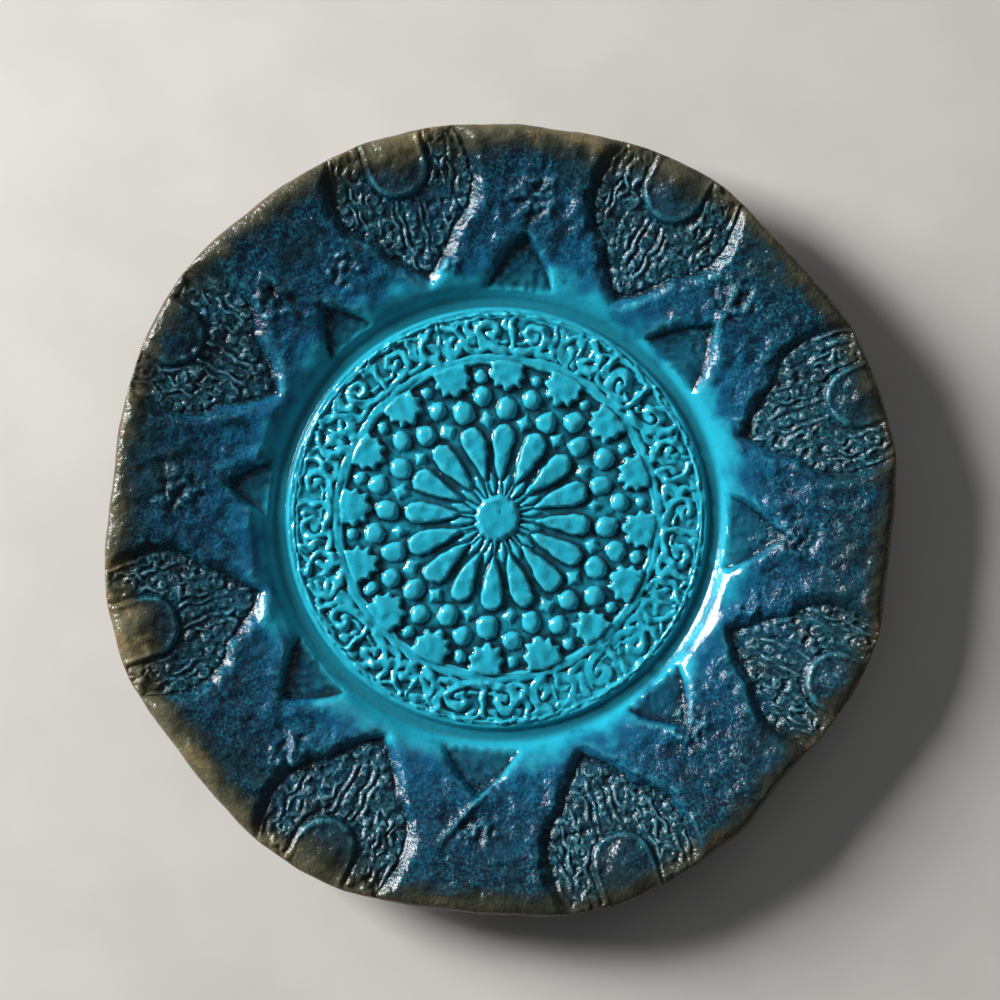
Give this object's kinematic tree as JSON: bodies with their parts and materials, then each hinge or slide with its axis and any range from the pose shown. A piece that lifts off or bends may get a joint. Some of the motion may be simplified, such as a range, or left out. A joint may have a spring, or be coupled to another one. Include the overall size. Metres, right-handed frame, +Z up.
{
  "type": "decorative plate",
  "caption": "Round glazed clay plate on a foot ring, with a raised rosette and scroll medallion in its well and leaf stamps pressed into its uneven rim.",
  "frame": {"origin": "on the surface that the plate lies on, under the middle of its bounding box", "axes": "+Z up out of the dish, along its shortest extent; +Y towards the top of the picture and +X towards its right"},
  "size_m": [0.2996, 0.3, 0.0285],
  "materials": {
    "glaze": "glossy turquoise glaze in the well, running to dark blue on the rim and brown at the edge"
  },
  "bodies": {
    "root": {"plate": "glaze"}
  },
  "joints": []
}
